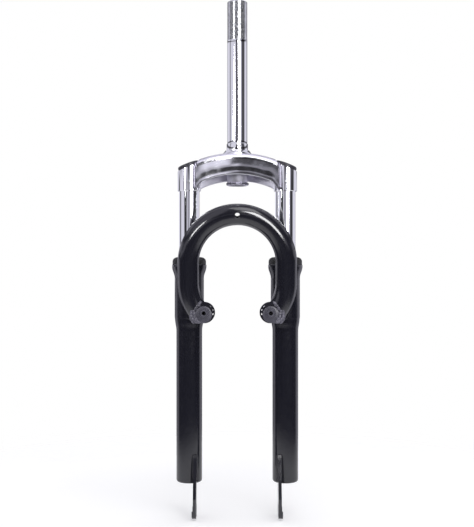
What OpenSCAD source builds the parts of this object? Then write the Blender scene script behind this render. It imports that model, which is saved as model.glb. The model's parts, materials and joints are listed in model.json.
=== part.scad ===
// Telescopic bicycle fork: chromed steerer, pressed crown and stanchions, black lower legs
// with an arch tube and brake bosses. Z is the steerer's axis, up, and Z = 0 is the shoulder
// under the crown race. -Y is the front of the bicycle and +X is the rider's left.

/* [Steerer] */
// Outside diameter of the steerer tube
steerer_d = 25.4; // [24:0.1:26.4]
// Wall of the steerer tube, outside its stem bore
steerer_wall = 1.6; // [1.2:0.1:2.5]
// Height of the steerer above the race shoulder
steerer_h = 188; // [120:1:260]
// Length of the threaded top part
thread_len = 49; // [20:1:80]
// Width of the keyway for the tabbed washer
keyway_w = 3.2; // [2:0.1:5]
// Depth of the keyway
keyway_depth = 0.9; // [0.5:0.1:1]
// Diameter of the seat that the crown race presses on
race_d = 27; // [26.6:0.1:27.4]
// Height of the race seat
race_h = 9; // [5:0.5:12]
// Length of the steerer below the race shoulder
steerer_below = 44; // [36:1:50]

/* [Crown] */
// Radius of the crown's arched top, seen from the front
crown_r = 132; // [125:1:150]
// Rise of the collar over the crown's top
collar_h = 3.5; // [2:0.5:6]
// Diameter of the collar's flat top, the race shoulder
collar_d = 31; // [30:0.5:34]
// Depth of the front wall of the pressed crown
crown_front_h = 27.5; // [20:0.5:30]
// Depth of the back wall of the pressed crown
crown_back_h = 33; // [26:1:36]
// Sheet thickness of the crown
crown_wall = 2.6; // [2:0.1:3.5]
// Width of the crown, front to back, at the steerer
crown_mid_w = 42; // [39:1:48]
// Width of the crown where it meets the sleeves
crown_end_w = 26; // [24:0.5:27]
// Bend radius of the pressed corners
crown_corner = 8.5; // [4:0.5:9]
// Length of the gussets by which the crown's walls run down to the sleeves' ends
crown_gusset = 8.5; // [4:0.5:12]

/* [Legs] */
// Distance between the two leg axes
leg_spacing = 120; // [114:1:130]
// How far the leg axes lie ahead of the steerer
leg_forward = 13; // [8:1:16]
// Outside diameter of a stanchion
stanchion_d = 25.4; // [25:0.1:26]
// Wall of a stanchion
stanchion_wall = 1.5; // [1.2:0.1:2]
// Stanchion's lower end, below the race shoulder
stanchion_end = 322; // [318:1:328]
// Wall of the crown's sleeves
sleeve_wall = 1.8; // [1.5:0.1:2.5]
// Lower end of the sleeves, below the race shoulder
sleeve_end = 52; // [48:1:60]
// Height of the sloped top on the sleeve's axis, below the race shoulder
sleeve_top = 22; // [16:0.5:24]
// Slope of the sleeve's top
sleeve_slope = 20.5; // [10:0.5:30]
// Diameter of the locking pin in a sleeve
pin_d = 4.5; // [3:0.5:6]
// Distance of the locking pin above the sleeve's end
pin_up = 11; // [8:1:14]

/* [Caps] */
// Diameter of a sleeve cap
cap_d = 27; // [26.4:0.1:28.4]
// Thickness of a sleeve cap
cap_t = 4.5; // [3:0.5:7]
// Length of the cap's plug inside the stanchion
cap_plug = 12; // [8:1:16]

/* [Lower legs] */
// Mouth of the lower leg, below the race shoulder
mouth_z = 143; // [140:1:146]
// Bottom of the lower leg, below the race shoulder
leg_bottom = 414; // [412:1:424]
// Wall of the lower leg
leg_wall = 1.8; // [1.6:0.1:2]
// Outside diameter of the bushing housing
housing_d = 36.5; // [36:0.1:38]
// Wall of the bushing housing
housing_wall = 1.85; // [1.65:0.05:2.3]
// Diameter of the flared mouth
mouth_d = 43; // [41:0.5:46]
// Length of the flare under the mouth
flare_h = 17; // [12:1:22]
// Distance from the mouth to the housing's lower shoulder
housing_h = 66; // [62:1:70]
// Height of the shelf that the upper bush stands on, over the housing's lower shoulder
bush_shelf = 7; // [4:0.5:10]
// Length of the neck under the housing
neck_h = 17; // [10:1:24]
// Wall of the mouth around the dust seal
mouth_wall = 3.3; // [2.5:0.1:4]
// Depth of the dust seal's seat in the mouth
seat_depth = 6; // [4:0.5:8]
// Height of the dust seal over the mouth
seal_h = 9; // [6:0.5:12]
// Thickness of the dust seal's lip
seal_lip = 1.2; // [0.8:0.1:2]
// Rounding of the leg's lower edge
leg_round = 3; // [1:0.5:4]
// Thickness of the floor that carries the bottom bolt
floor_t = 4; // [3:0.5:6]
// Hole for the bottom bolt
bolt_hole_d = 8.4; // [8.2:0.1:9]
// Depth of the bolt recess under the floor
recess_h = 9; // [8:0.5:14]
// Diameter of the bolt recess
recess_d = 18; // [17.6:0.2:22]

/* [Arch] */
// Outside diameter of the arch tube
arch_d = 26; // [22:0.5:27]
// Wall of the arch tube
arch_wall = 2; // [1.5:0.1:3]
// Radius of the arch's centre line
arch_r = 59.5; // [57:0.5:62]
// Height of the arch's centre over the brake bosses
arch_up = 60.4; // [56:0.2:66]
// Straight length between the arch and its inward ends
arch_straight = 24; // [16:1:30]
// Turn of the inward ends
arch_turn = 37; // [32:1:40]
// Forward lean of the arch, which keeps it clear of the legs' mouths
arch_lean = 9; // [9:0.1:12]
// How deep the arch tube is let into the bushing housing beside the brake studs
arch_sink = 5; // [3:0.5:5]
// Hole through the top of the arch
arch_hole_d = 6.5; // [5:0.5:8]

/* [Brake bosses] */
// Distance between the two brake studs
stud_spacing = 80; // [76:1:84]
// Brake studs, below the race shoulder
stud_z = 201.4; // [199:0.2:204]
// Front face of the bosses, ahead of the leg axes
boss_front = 38; // [36:1:40]
// Diameter of the boss plate
boss_d = 26; // [24:0.5:28]
// Thickness of the boss plate
boss_plate_t = 4; // [3:0.5:6]
// Diameter of the boss behind its plate
boss_core_d = 20; // [18:0.5:22]
// Depth of the whole boss
boss_depth = 26; // [24:1:30]
// Diameter of the brake stud
stud_d = 8; // [7.8:0.1:9]
// Length of the brake stud
stud_len = 16; // [14:0.5:20]
// Bore for the M6 brake bolt
stud_bore = 5; // [4.8:0.1:5.2]
// Depth of that bore
stud_bore_depth = 15; // [10:0.5:18]
// Diameter of the stud's collar
stud_collar_d = 13; // [11:0.5:15]
// Thickness of the stud's collar
stud_collar_t = 3; // [2:0.5:4]
// Length of the stud's root inside the boss
stud_root = 14; // [8:0.5:18]
// Diameter of the spring holes
spring_hole_d = 2.6; // [2:0.2:3]
// Distance of the spring holes from the stud's axis
spring_hole_r = 10; // [9:0.2:10.8]

/* [Dropouts] */
// Distance between the inner faces of the dropouts
hub_width = 100; // [96:1:104]
// Thickness of a dropout plate
dropout_t = 4; // [3:0.5:6]
// Axle's centre, below the race shoulder
axle_z = 440; // [436:1:446]
// Axle's centre, ahead of the leg axes
axle_forward = 24; // [21:1:28]
// Width of the axle slot
slot_w = 9.5; // [9:0.1:10.5]
// Radius of the dropout around the axle
eye_r = 14.5; // [13:0.5:18]
// Top of the dropout's weld on the leg, below the race shoulder
weld_top = 378; // [372:1:390]

/* [Springs and guides] */
// Travel of the fork
travel = 50; // [30:1:50]
// Radial clearance of the sliding bushes
bush_gap = 0.05; // [0.03:0.01:0.08]
// Length of the upper bush
upper_bush_len = 48; // [30:1:50]
// Wall of the lower bush, which the lower leg's bore is sized to
lower_bush_wall = 1.55; // [1.3:0.05:1.9]
// Length of the lower bush
lower_bush_len = 28; // [20:1:34]
// Diameter of the damper rod
rod_d = 10; // [8:0.5:12]
// Diameter of the bottom bolt's shank in the rod
rod_thread_d = 6.8; // [5:0.1:7]
// Length of the bottom bolt inside the rod
bolt_grip = 18; // [10:1:30]
// Thickness of the bottom washer
washer_t = 1.5; // [1:0.1:2]
// Wire of the coil spring
wire_d = 3.4; // [2.5:0.1:4]
// Active turns of the coil spring
spring_turns = 22; // [14:1:26]
// Length of the spacer above the spring
spacer_len = 26; // [10:1:60]
// Gap that soft pieces keep from the stanchion
soft_gap = 0.3; // [0.2:0.05:0.5]

/* [Hidden] */
$fn = 64;
lx = leg_spacing / 2;
ly = -leg_forward;
stan_bore = stanchion_d - 2 * stanchion_wall;
steerer_bore = steerer_d - 2 * steerer_wall;
sleeve_d = stanchion_d + 2 * sleeve_wall;
crown_cz = -(crown_r + collar_h);
stan_top = -sleeve_top - stanchion_d / 2 * tan(sleeve_slope) - 1;
plug_end = stan_top - cap_plug;
guide_h = 14;
guide_flange = 2;
guide_top = -stanchion_end + guide_h;
bumper_h = 5.7;
head_z = guide_top + bumper_h + soft_gap;
head_h = 7;
spring_low = head_z + head_h;
spring_high = plug_end - spacer_len;
spring_mean = stan_bore - wire_d - 2;
floor_low = -leg_bottom + recess_h;
floor_top = floor_low + floor_t;
leg_bore = stanchion_d + 2 * (lower_bush_wall + bush_gap);
leg_d = leg_bore + 2 * leg_wall;
housing_bore = housing_d - 2 * housing_wall;
seal_seat_d = mouth_d - 2 * mouth_wall;
bush_step = mouth_z + housing_h - bush_shelf;

// Places a left-hand piece, drawn about the origin, on its leg's axis or on the mirrored one
module leg(s) {
    if (s > 0) translate([lx, ly, 0]) children();
    else mirror([1, 0, 0]) translate([lx, ly, 0]) children();
}
// Mirrors a left-hand piece, drawn in place, to the right
module hand(s) {
    if (s > 0) children();
    else mirror([1, 0, 0]) children();
}
module ring(od, id, z0, z1) {
    rotate_extrude() translate([id / 2, z0]) square([(od - id) / 2, z1 - z0]);
}

// Steerer: one revolved profile, with the race seat near its foot and a chamfered top
module steerer_tube() {
    r = steerer_d / 2;
    b = steerer_bore / 2;
    color("gainsboro") difference() {
        rotate_extrude($fn = 96) polygon([[b, -steerer_below], [r - 0.6, -steerer_below],
            [r, -steerer_below + 0.6], [r, 0], [race_d / 2, 0], [race_d / 2, race_h - 0.5],
            [race_d / 2 - 0.5, race_h], [r + 0.2, race_h], [r, race_h + 0.4],
            [r, steerer_h - 1], [r - 0.8, steerer_h], [b, steerer_h]]);
        translate([-keyway_w / 2, r - keyway_depth, steerer_h - thread_len])
            cube([keyway_w, 5, thread_len + 1]);
    }
}

// Crown: sheet steel pressed to an inverted channel that arches from sleeve to sleeve. Each
// section is a channel across the plane at x, 2 * half_w(x) wide, and its middle runs forward
// from the steerer to the legs. A point at the radius q of the arch lies at the height arc_z(x, q).
function ease(t) = t * t * (3 - 2 * t);
function blend(x) = ease(min(1, abs(x) / lx));
function mid_y(x) = ly * blend(x);
function half_w(x) = crown_mid_w / 2 + (crown_end_w - crown_mid_w) / 2 * blend(x);
function arc_z(x, q) = crown_cz + sqrt(q * q - x * x);
// Where the middle of the sheet meets a sleeve, and the arch's radius at a wall's lower edge, which
// a gusset takes from q down to just above the sleeve's end
lip_end = lx - sqrt(pow(sleeve_d / 2, 2) - pow(crown_end_w / 2 - crown_wall / 2, 2));
lip_over_end = 0.4;
gusset_soft = 0.18;
function turn_down(s) = norm([s, gusset_soft]) - gusset_soft;
function gusset(x, q) = (arc_z(lip_end, q) + sleeve_end - lip_over_end) / turn_down(1)
    * turn_down(max(0, min(1, 1 - (lip_end - abs(x)) / crown_gusset)));
function lip(x, q) = norm([x, arc_z(x, q) - crown_cz - gusset(x, q)]);
// Outline of one wall surface of the channel: inset 0 is the outside, inset crown_wall the inside
function channel(x, inset) = let (
    w = half_w(x) - inset, r = crown_r - inset, c = max(crown_corner - inset, 1), y = mid_y(x))
    concat([[y - w, lip(x, crown_r - crown_front_h)]],
        [for (i = [0:4]) [y - w + c - c * cos(i * 22.5), r - c + c * sin(i * 22.5)]],
        [for (i = [0:4]) [y + w - c + c * sin(i * 22.5), r - c + c * cos(i * 22.5)]],
        [[y + w, lip(x, crown_r - crown_back_h)]]);
function reversed(p) = [for (i = [len(p) - 1:-1:0]) p[i]];
function section(x) = concat(channel(x, 0), reversed(channel(x, crown_wall)));
// Skin over n + 1 outlines of equal length. A channel's end is closed wall by wall, since its
// outline runs out along the outside and back along the inside.
module loft(slices, n, is_channel = false) {
    m = len(slices[0]);
    strip = [for (j = [0:m / 2 - 2]) [j, j + 1, m - 2 - j, m - 1 - j]];
    ends = is_channel ? strip : [[for (j = [0:m - 1]) j]];
    polyhedron(points = [for (s = slices) for (p = s) p],
        faces = concat(
            [for (f = ends) reversed(f)],
            [for (i = [0:n - 1]) for (j = [0:m - 1])
                [i * m + j, i * m + (j + 1) % m, (i + 1) * m + j]],
            [for (i = [0:n - 1]) for (j = [0:m - 1])
                [(i + 1) * m + j, i * m + (j + 1) % m, (i + 1) * m + (j + 1) % m]],
            [for (f = ends) [for (j = f) n * m + j]]));
}
module crown_shell() {
    flank = concat([for (i = [1:11]) (lip_end - crown_gusset) * i / 11],
        [for (i = [1:5]) lip_end - crown_gusset * (1 - i / 5)], [lx + 1]);
    stations = concat(-reversed(flank), [0], flank);
    color("silver") difference() {
        union() {
            loft([for (x = stations) [for (p = section(x)) [x, p[0], arc_z(x, p[1])]]],
                len(stations) - 1, true);
            rotate_extrude() polygon([[0, -collar_h - crown_wall], [collar_d / 2 + 3.5,
                -collar_h - crown_wall], [collar_d / 2 + 2.4, -collar_h + 0.4],
                [collar_d / 2 + 0.6, -0.9], [collar_d / 2, 0], [0, 0]]);
        }
        translate([0, 0, -60]) cylinder(d = steerer_d, h = 70);
        for (s = [-1, 1]) translate([s * lx, ly, -120]) cylinder(d = sleeve_d, h = 200);
    }
}

// Sleeve on the crown's end, with the sloped top that its cap lies on
module above_slope(z) {
    translate([0, 0, z]) rotate([0, sleeve_slope, 0]) translate([-60, -60, 0])
        cube([120, 120, 60]);
}
module sleeve(s) {
    color("silver") leg(s) difference() {
        rotate_extrude() polygon([[stanchion_d / 2, -sleeve_end],
            [sleeve_d / 2 - 0.5, -sleeve_end], [sleeve_d / 2, -sleeve_end + 0.5],
            [sleeve_d / 2, 0], [stanchion_d / 2, 0]]);
        above_slope(-sleeve_top);
        translate([0, 0, -sleeve_end + pin_up]) rotate([90, 0, 0]) cylinder(d = pin_d, h = 40);
    }
}
module sleeve_cap(s) {
    r = cap_d / 2;
    color("dimgray") leg(s) {
        translate([0, 0, -sleeve_top]) rotate([0, sleeve_slope, 0]) rotate_extrude()
            polygon(concat([[0, 0], [r, 0]], [for (i = [0:5]) [r - 1.4 + 1.4 * cos(i * 18),
                cap_t - 1.4 + 1.4 * sin(i * 18)]], [[0, cap_t]]));
        difference() {
            translate([0, 0, plug_end]) cylinder(d = stan_bore - 2 * bush_gap,
                h = -sleeve_top - plug_end + stan_bore);
            above_slope(-sleeve_top);
        }
    }
}
// Locking pin, through the sleeve and the stanchion's wall
module lock_pin(s) {
    color("gray") leg(s) translate([0, 0, -sleeve_end + pin_up]) rotate([90, 0, 0])
        translate([0, 0, stan_bore / 2]) rotate_extrude($fn = 32)
        polygon([[0, 0], [pin_d / 2, 0], [pin_d / 2, stanchion_wall + sleeve_wall],
            [pin_d / 2 - 0.6, stanchion_wall + sleeve_wall + 0.5],
            [0, stanchion_wall + sleeve_wall + 0.7]]);
}
module stanchion(s) {
    color("gainsboro") leg(s) difference() {
        rotate_extrude($fn = 96) polygon([[stan_bore / 2, -stanchion_end],
            [stanchion_d / 2 - 0.4, -stanchion_end], [stanchion_d / 2, -stanchion_end + 0.4],
            [stanchion_d / 2, stan_top - 0.5], [stanchion_d / 2 - 0.5, stan_top],
            [stan_bore / 2, stan_top]]);
        translate([0, 0, -sleeve_end + pin_up]) rotate([90, 0, 0]) cylinder(d = pin_d, h = 40);
    }
}
// Bush on the stanchion's foot, sliding in the lower leg
module lower_bush(s) {
    color("ivory") leg(s) ring(leg_bore - 2 * bush_gap, stanchion_d, -stanchion_end + 4,
        -stanchion_end + 4 + lower_bush_len);
}
// Guide pressed into the stanchion's foot, round the damper rod
module guide(s) {
    color("darkgray") leg(s) rotate_extrude() polygon([
        [rod_d / 2 + bush_gap, -stanchion_end - guide_flange],
        [stanchion_d / 2 - 0.3, -stanchion_end - guide_flange],
        [stanchion_d / 2 - 0.3, -stanchion_end], [stan_bore / 2, -stanchion_end],
        [stan_bore / 2, guide_top], [rod_d / 2 + bush_gap, guide_top]]);
}
module top_bumper(s) {
    color("dimgray") leg(s) ring(stan_bore - 2, rod_d + 1, guide_top, guide_top + bumper_h);
}
module spacer(s) {
    color("ivory") leg(s) ring(stan_bore - 2, stan_bore - 8, spring_high, plug_end);
}
// Coil spring: a five-sided wire swept along a helix, with its ends brought flat
module coil_spring(s) {
    n = spring_turns * 10;
    h = spring_high - spring_low - wire_d;
    rm = spring_mean / 2;
    color("gray") leg(s) translate([0, 0, spring_low + wire_d / 2])
        loft([for (i = [0:n]) let (a = i * 36, z = h * i / n)
            [for (k = [0:4]) let (r = rm + wire_d / 2 * cos(k * 72))
                [r * cos(a), r * sin(a), z + wire_d / 2 * sin(k * 72)]]], n);
}

// Lower leg: revolved shell with the flared mouth, the bushing housing and the closed foot
function flare_r(t) = housing_d / 2 + (mouth_d - housing_d) / 2 * (1 + cos(180 * t)) / 2;
function neck_r(t) = leg_d / 2 + (housing_d - leg_d) / 2 * (t < 0.12 ? 1
    : 0.82 * (1 + cos(180 * (t - 0.12) / 0.88)) / 2);
module leg_outside() {
    b = -leg_bottom;
    rotate_extrude($fn = 96) polygon(concat([[0, -mouth_z], [mouth_d / 2 - 0.8, -mouth_z],
        [mouth_d / 2, -mouth_z - 0.8]],
        [for (i = [0:8]) [flare_r(i / 8), -mouth_z - 3 - (flare_h - 3) * i / 8]],
        [for (i = [0:8]) [neck_r(i / 8), -mouth_z - housing_h - neck_h * i / 8]],
        [for (i = [0:6]) [leg_d / 2 - leg_round + leg_round * cos(i * 15),
            b + leg_round - leg_round * sin(i * 15)]], [[0, b]]));
}
module lower_leg(s) {
    color("#202126") leg(s) difference() {
        leg_outside();
        translate([0, 0, floor_top]) cylinder(d = leg_bore, h = leg_bottom);
        translate([0, 0, -bush_step]) cylinder(d = housing_bore, h = leg_bottom);
        translate([0, 0, -mouth_z - seat_depth]) cylinder(d = seal_seat_d, h = leg_bottom);
        translate([0, 0, -leg_bottom - 1]) cylinder(d = bolt_hole_d, h = recess_h + floor_t + 2);
        translate([0, 0, -leg_bottom - 1]) cylinder(d = recess_d, h = recess_h + 1);
    }
}

// Arch: a tube bent in one leaning plane, with its ends turned in to the brake bosses
module arch_pipe(d, b) {
    rotate([90, 0, 0]) {
        rotate_extrude(angle = 180, $fn = 128) translate([arch_r, 0]) wall_ring(d, b);
        for (s = [0, 180]) rotate([0, s, 0]) {
            translate([0, -arch_straight, 0]) mirror([0, 1, 0])
                rotate_extrude(angle = arch_turn, $fn = 128) translate([arch_r, 0]) wall_ring(d, b);
            translate([arch_r, 0, 0]) rotate([90, 0, 0]) linear_extrude(height = arch_straight)
                wall_ring(d, b);
        }
    }
}
module wall_ring(d, b) {
    difference() {
        circle(d = d);
        circle(d = b);
    }
}
boss_y = ly - boss_front;
arch_y = ly - housing_d / 2 - arch_d / 2 + arch_sink;
module place_arch() {
    translate([0, arch_y, -stud_z]) rotate([arch_lean, 0, 0]) translate([0, 0, arch_up])
        children();
}
module arch_tube() {
    color("#202126") difference() {
        place_arch() difference() {
            arch_pipe(arch_d, arch_d - 2 * arch_wall);
            translate([0, 0, arch_r]) rotate([90, 0, 0])
                cylinder(d = arch_hole_d, h = 80, center = true);
        }
        for (s = [-1, 1]) {
            leg(s) housing_cut();
            hand(s) boss_block();
            hand(s) stud_place() mirror([0, 0, 1]) cylinder(d = boss_d, h = stud_len + 5);
        }
    }
}
// The bushing housing's cylinder, which the arch tube and the bosses are coped to
module housing_cut() {
    translate([0, 0, -mouth_z - housing_h - neck_h]) cylinder(d = housing_d,
        h = housing_h + neck_h - flare_h, $fn = 96);
}

// Brake boss: a plate with the spring holes on a round core that is coped onto the leg
module stud_place() {
    translate([stud_spacing / 2, boss_y, -stud_z]) rotate([-90, 0, 0]) children();
}
module boss_block() {
    stud_place() {
        cylinder(d = boss_d, h = boss_plate_t);
        cylinder(d = boss_core_d, h = boss_depth);
    }
}
module brake_boss(s) {
    color("#2b2c31") hand(s) difference() {
        boss_block();
        translate([lx, ly, 0]) housing_cut();
        stud_place() {
            translate([0, 0, -1]) cylinder(d = stud_d + 1, h = stud_root + 1);
            for (a = [-10, 17, 44]) rotate([0, 0, 180 + a]) translate([spring_hole_r, 0, -1])
                cylinder(d = spring_hole_d, h = boss_plate_t + 2, $fn = 32);
        }
    }
}
module brake_stud(s) {
    r = stud_d / 2;
    c = stud_collar_d / 2;
    end = stud_len + stud_collar_t;
    color("gray") hand(s) stud_place() mirror([0, 0, 1]) difference() {
        rotate_extrude() polygon([[0, -stud_root], [r + 0.5, -stud_root], [r + 0.5, 0], [c, 0],
            [c, stud_collar_t - 0.8], [c - 0.8, stud_collar_t], [r, stud_collar_t],
            [r, end - 0.7], [r - 0.7, end], [0, end]]);
        translate([0, 0, end - stud_bore_depth]) cylinder(d = stud_bore, h = stud_bore_depth + 1);
    }
}

// Dropout: a plate cut to its outline, welded to the front of the leg, its axle slot open below
module dropout_outline() {
    f = axle_forward;
    difference() {
        union() {
            translate([f, -axle_z]) circle(r = eye_r);
            polygon([[f + eye_r, -axle_z], [f + eye_r - 0.5, -axle_z + 12], [f + 6, -axle_z + 34],
                [leg_d / 2 + 3, -weld_top - 3], [leg_d / 2 + 1, -weld_top], [leg_d / 2 - 6, -weld_top],
                [leg_d / 2 - 8, -leg_bottom - 1.5], [4, -leg_bottom - 3], [5, -axle_z + 16],
                [f - eye_r, -axle_z]]);
        }
        translate([f, -axle_z]) circle(d = slot_w);
        translate([f - slot_w / 2, -axle_z - 40]) square([slot_w, 40]);
        polygon([[f - slot_w / 2 - 2, -axle_z - eye_r], [f, -axle_z - eye_r + 9],
            [f + slot_w / 2 + 2, -axle_z - eye_r]]);
    }
}
module retention_lip() {
    difference() {
        translate([axle_forward, -axle_z]) circle(r = eye_r);
        translate([axle_forward, -axle_z]) circle(r = eye_r - 3);
        translate([axle_forward - slot_w / 2, -axle_z - 40]) square([slot_w, 40]);
        translate([0, -axle_z - 3]) square([80, 60]);
    }
}
// The outline is drawn with its first axis forward from the leg's axis and its second one up
module plate(x, t) {
    translate([x, 0, 0]) mirror([0, 1, 0]) rotate([90, 0, 90]) linear_extrude(height = t)
        children();
}
module dropout(s) {
    x = hub_width / 2 - lx;
    color("#202126") leg(s) difference() {
        union() {
            plate(x, dropout_t) dropout_outline();
            plate(x + dropout_t, 1.5) retention_lip();
        }
        leg_outside();
    }
}

module dust_seal(s) {
    i = stanchion_d / 2 + soft_gap;
    o = mouth_d / 2 - seal_lip / 2;
    rim = 0.4 * seal_h;
    color("#17171a") leg(s) rotate_extrude() polygon(concat(
        [[i, -mouth_z - seat_depth], [seal_seat_d / 2, -mouth_z - seat_depth],
        [seal_seat_d / 2, -mouth_z], [o, -mouth_z]],
        [for (k = [0:6]) [i + seal_lip + (o - i - seal_lip) * cos(k * 15),
            -mouth_z + rim + (seal_h - rim) * sin(k * 15)]],
        [[i, -mouth_z + seal_h - seal_lip]]));
}
module upper_bush(s) {
    color("ivory") leg(s) ring(housing_bore, stanchion_d + 2 * bush_gap,
        -bush_step, -bush_step + upper_bush_len);
}
// Damper rod on the leg's floor; its head stops on the top bumper and carries the spring
module damper_rod(s) {
    color("gainsboro") leg(s) difference() {
        rotate_extrude() polygon([[0, floor_top], [rod_d / 2, floor_top], [rod_d / 2, head_z],
            [stan_bore / 2 - 0.8, head_z], [stan_bore / 2 - 0.8, head_z + head_h - 1],
            [stan_bore / 2 - 1.8, head_z + head_h], [0, head_z + head_h]]);
        translate([0, 0, floor_top - 1]) cylinder(d = rod_thread_d, h = bolt_grip + 6);
    }
}
module bottom_bumper(s) {
    top = -stanchion_end - guide_flange - travel - 3;
    color("dimgray") leg(s) ring(leg_bore - 4, rod_d + 0.6, floor_top, top);
}
// Socket-head bolt that holds the damper rod, in the recess under the leg's floor
module bottom_bolt(s) {
    under = floor_low - washer_t;
    r = rod_thread_d / 2;
    color("gray") leg(s) difference() {
        rotate_extrude($fn = 48) polygon([[0, under - 5], [5.4, under - 5], [6.2, under - 4.4],
            [6.2, under], [r, under], [r, floor_top + bolt_grip], [0, floor_top + bolt_grip]]);
        translate([0, 0, under - 6]) cylinder(r = 3.4, h = 4.5, $fn = 6);
    }
}
module bolt_washer(s) {
    color("silver") leg(s) ring(recess_d - 2, bolt_hole_d, floor_low - washer_t, floor_low);
}

steerer_tube();
crown_shell();
sleeve(1);  // sleeve_left
sleeve(-1);  // sleeve_right
sleeve_cap(1);  // sleeve_cap_left
sleeve_cap(-1);  // sleeve_cap_right
lock_pin(1);  // lock_pin_left
lock_pin(-1);  // lock_pin_right
stanchion(1);  // stanchion_left
stanchion(-1);  // stanchion_right
lower_bush(1);  // lower_bush_left
lower_bush(-1);  // lower_bush_right
guide(1);  // guide_left
guide(-1);  // guide_right
top_bumper(1);  // top_bumper_left
top_bumper(-1);  // top_bumper_right
spacer(1);  // spacer_left
spacer(-1);  // spacer_right
coil_spring(1);  // spring_left
coil_spring(-1);  // spring_right
lower_leg(1);  // lower_leg_left
lower_leg(-1);  // lower_leg_right
arch_tube();
brake_boss(1);  // brake_boss_left
brake_boss(-1);  // brake_boss_right
brake_stud(1);  // brake_stud_left
brake_stud(-1);  // brake_stud_right
dropout(1);  // dropout_left
dropout(-1);  // dropout_right
dust_seal(1);  // dust_seal_left
dust_seal(-1);  // dust_seal_right
upper_bush(1);  // upper_bush_left
upper_bush(-1);  // upper_bush_right
damper_rod(1);  // damper_rod_left
damper_rod(-1);  // damper_rod_right
bottom_bumper(1);  // bottom_bumper_left
bottom_bumper(-1);  // bottom_bumper_right
bottom_bolt(1);  // bottom_bolt_left
bottom_bolt(-1);  // bottom_bolt_right
bolt_washer(1);  // bolt_washer_left
bolt_washer(-1);  // bolt_washer_right
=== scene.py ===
# %% [markdown]
# # The looks of a telescopic bicycle fork
# The construction comes packed as a frame of named solids in metres. This lesson gives every
# solid its finish, and rebuilds the few pieces whose look depends on finer shape than the
# construction holds: the threaded steerer, the pressed crown, the sleeve caps and the springs.
# It adds the weld beads, which the construction leaves out.

# %% Load the frame
import json
import math

import bmesh
import bpy
import mathutils
import numpy as np
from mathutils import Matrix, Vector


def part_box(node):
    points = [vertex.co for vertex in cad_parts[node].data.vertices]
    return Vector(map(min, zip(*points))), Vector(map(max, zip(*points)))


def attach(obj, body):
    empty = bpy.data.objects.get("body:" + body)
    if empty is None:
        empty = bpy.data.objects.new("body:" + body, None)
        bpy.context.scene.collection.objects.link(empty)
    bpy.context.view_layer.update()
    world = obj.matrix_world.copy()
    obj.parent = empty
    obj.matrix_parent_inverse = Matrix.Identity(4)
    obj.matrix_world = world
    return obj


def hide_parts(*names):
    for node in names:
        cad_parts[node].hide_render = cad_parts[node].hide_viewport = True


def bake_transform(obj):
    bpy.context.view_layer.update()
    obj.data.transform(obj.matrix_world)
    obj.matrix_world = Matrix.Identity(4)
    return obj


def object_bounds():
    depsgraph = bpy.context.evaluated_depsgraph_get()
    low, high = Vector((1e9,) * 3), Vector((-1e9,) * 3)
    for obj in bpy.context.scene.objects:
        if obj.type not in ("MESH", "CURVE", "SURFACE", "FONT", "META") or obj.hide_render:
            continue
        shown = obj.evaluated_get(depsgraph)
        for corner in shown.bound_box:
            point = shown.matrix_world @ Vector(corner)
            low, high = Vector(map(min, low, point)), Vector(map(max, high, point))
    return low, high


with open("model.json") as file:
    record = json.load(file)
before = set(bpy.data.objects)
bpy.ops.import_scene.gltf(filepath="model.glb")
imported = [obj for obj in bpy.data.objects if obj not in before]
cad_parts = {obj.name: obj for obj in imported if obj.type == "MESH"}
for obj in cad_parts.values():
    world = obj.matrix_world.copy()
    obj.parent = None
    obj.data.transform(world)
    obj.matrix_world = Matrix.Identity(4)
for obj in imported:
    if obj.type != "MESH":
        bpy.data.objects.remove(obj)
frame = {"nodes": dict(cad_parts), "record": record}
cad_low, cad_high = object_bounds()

MM = 0.001
print("nodes in the frame:", len(frame["nodes"]))
print("box of the solids:", [round(v, 4) for v in (*cad_low, *cad_high)])

# %% [markdown]
# ## Sizes
# These are the construction's own driving sizes, in millimetres. Z = 0 is the shoulder under
# the crown race, -Y is the front of the bicycle and +X is the rider's left. Every new piece is
# worked out from them, so it sits exactly where the solid that carries it is.

# %% Sizes of the fork
STEERER_R, STEERER_BORE_R = 12.7, 11.1
STEERER_TOP, STEERER_FOOT = 188.0, -44.0
THREAD_LEN, THREAD_PITCH, THREAD_DEPTH = 49.0, 25.4 / 24, 0.6
KEYWAY_W, KEYWAY_DEPTH = 3.2, 0.9
RACE_R, RACE_H = 13.5, 9.0
CROWN_R, COLLAR_H, COLLAR_R = 132.0, 3.5, 15.5
CROWN_FRONT_H, CROWN_BACK_H, CROWN_WALL = 27.5, 33.0, 2.6
CROWN_MID_W, CROWN_END_W, CROWN_CORNER = 42.0, 26.0, 8.5
CROWN_GUSSET, GUSSET_SOFT, LIP_OVER_END = 8.5, 0.18, 0.4
LEG_X, LEG_Y = 60.0, -13.0
SLEEVE_R, SLEEVE_END = 14.5, -52.0
HOUSING_R, LEG_R, LEG_END = 18.25, 16.1, -414.0
ARCH_TUBE_R, ARCH_R, ARCH_UP, ARCH_STRAIGHT = 13.0, 59.5, 60.4, 24.0
ARCH_TURN, ARCH_LEAN, ARCH_SINK = math.radians(37), math.radians(9), 5.0
STUD_X, STUD_Z, BOSS_Y = 40.0, -201.4, LEG_Y - 38.0
BOSS_CORE_R = 10.0
DROPOUT_X, DROPOUT_T, WELD_TOP = 50.0, 4.0, -378.0
SIDES = {"left": 1, "right": -1}
print("height of the fork:", STEERER_TOP - 1000 * cad_low[2], "mm")

# %% [markdown]
# ## The camera
# The photograph is a level product shot from straight ahead. The standard sizes in it agree
# with a camera 1.2 m in front of the legs, so the lens follows from the height that the
# photograph covers in that plane: 527 pixels of 1.25 mm.

# %% Make the camera
PHOTO_W, PHOTO_H = 474, 527
MM_PER_PIXEL = 1.25
CAMERA_DISTANCE = 1200.0
CAMERA_Z = -142.0
FORK_CENTRE_PIXEL = 237.3

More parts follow.
